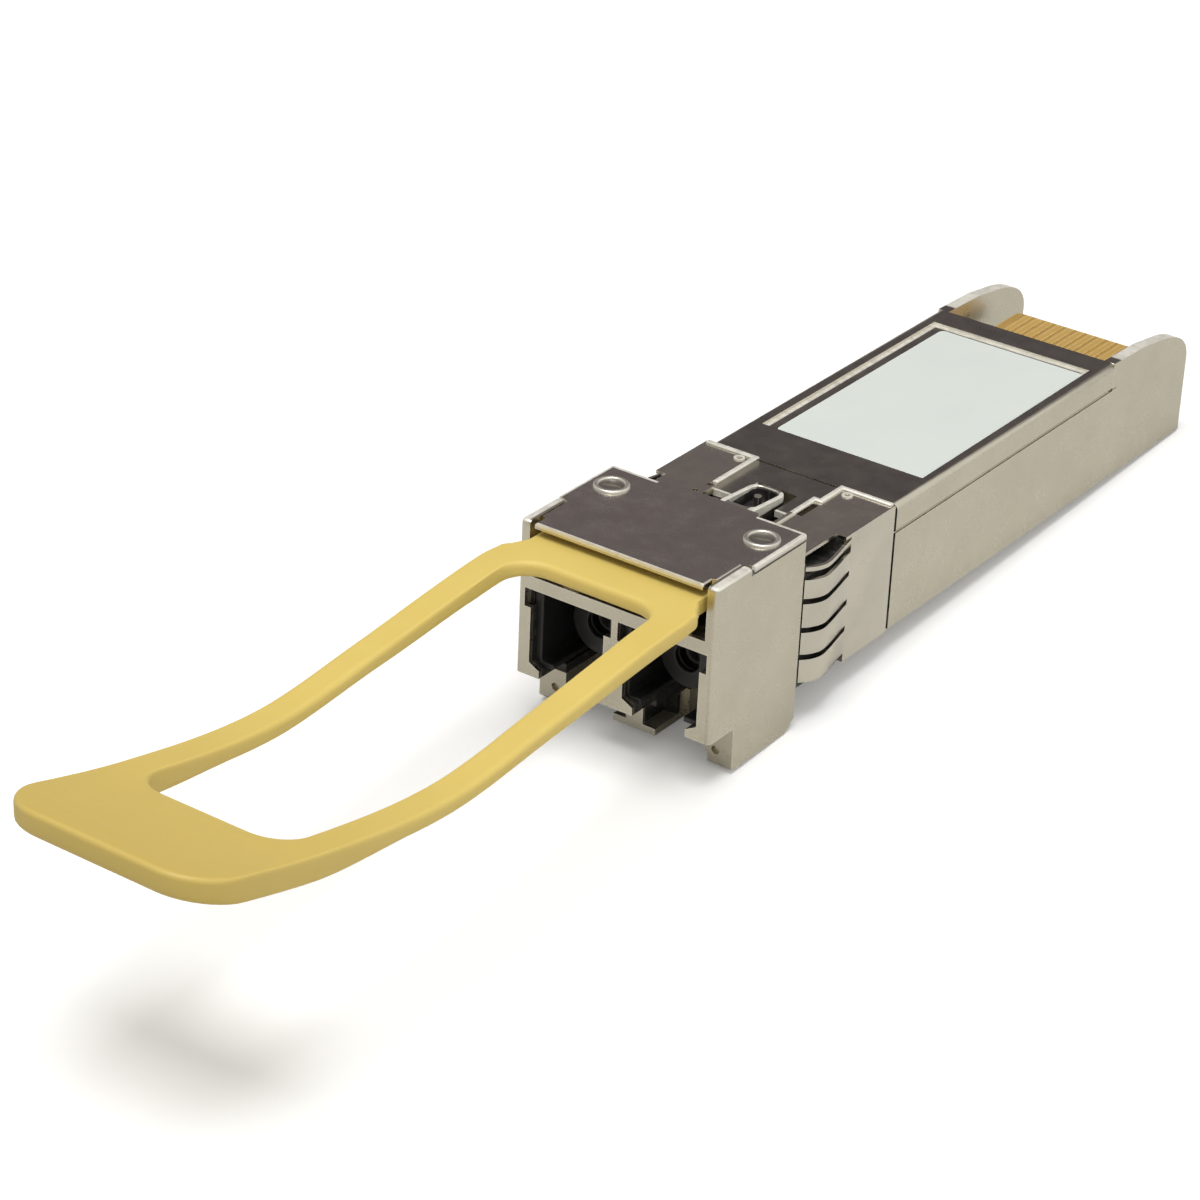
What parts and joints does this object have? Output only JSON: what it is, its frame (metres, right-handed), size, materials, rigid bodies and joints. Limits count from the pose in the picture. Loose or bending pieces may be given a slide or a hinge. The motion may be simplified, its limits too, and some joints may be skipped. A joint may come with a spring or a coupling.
{
  "type": "pluggable optical transceiver module",
  "caption": "Pluggable duplex-LC optical transceiver: metal shell, sprung EMI clip, card-edge board and a long loop pull tab that slides to rock the cage latch down.",
  "frame": {"origin": "centreline of the latch-side face, in the plane of the head's rear stop faces, where the module meets the cage", "axes": "+Y into the cage along the insertion axis, +Z out of the latch side, +X to the right seen from the optical ports"},
  "size_m": [0.0148, 0.1001, 0.0145],
  "materials": {
    "plated_casting": "satin nickel plating",
    "spring_steel": "bright rolled",
    "turned_steel": "turned",
    "tab_plastic": "matte elastomer",
    "black_plastic": "matte",
    "label_film": "satin film",
    "zirconia": "polished",
    "gold_plating": "gold plated",
    "flex_film": "amber film",
    "board_laminate": "solder mask",
    "thermal_gel": "soft",
    "chip_ceramic": "fired",
    "absorber": "matte"
  },
  "bodies": {
    "module": {"base_shell": "plated_casting", "top_cover": "plated_casting", "head_cover_plate": "plated_casting", "cover_rivets": "plated_casting", "emi_spring_clip": "spring_steel", "id_label": "label_film", "lc_receptacle": "black_plastic", "transmit_nozzle": "turned_steel", "receive_nozzle": "turned_steel", "transmit_sleeve": "zirconia", "receive_sleeve": "zirconia", "transmit_fibre_stub": "zirconia", "receive_fibre_stub": "zirconia", "transmit_can": "gold_plating", "receive_can": "gold_plating", "barrel_clamp": "turned_steel", "transmit_flex": "flex_film", "receive_flex": "flex_film", "circuit_board": "board_laminate", "edge_contacts": "gold_plating", "laser_driver_chip": "black_plastic", "receiver_chip": "black_plastic", "controller_chip": "black_plastic", "laser_driver_thermal_pad": "thermal_gel", "receiver_thermal_pad": "thermal_gel", "controller_thermal_pad": "thermal_gel", "board_capacitors": "chip_ceramic", "board_resistors": "black_plastic", "absorber_sheet": "absorber", "left_return_spring": "spring_steel", "right_return_spring": "spring_steel", "rocker_pivot_pin": "turned_steel"},
    "slider": {"pull_tab": "tab_plastic", "slide_plate": "spring_steel"},
    "latch": {"latch_rocker": "plated_casting", "rocker_drive_pin": "turned_steel"}
  },
  "joints": [
    {"name": "pull_slide", "type": "slide", "parent": "module", "child": "slider", "axis": [0, -1, 0], "range_m": [0, 0.0022], "stiffness_N_per_m": 300, "springref_m": -0.001, "deforming": ["left_return_spring", "right_return_spring"]},
    {"name": "latch_rock", "type": "hinge", "parent": "module", "child": "latch", "pos_m": [0, -0.0035, -0.00115], "axis": [1, 0, 0], "range_deg": [-5.01, 0]}
  ],
  "couplings": [
    {"joint": "latch_rock", "follows": "pull_slide", "rad_per_m": -39.66}
  ]
}
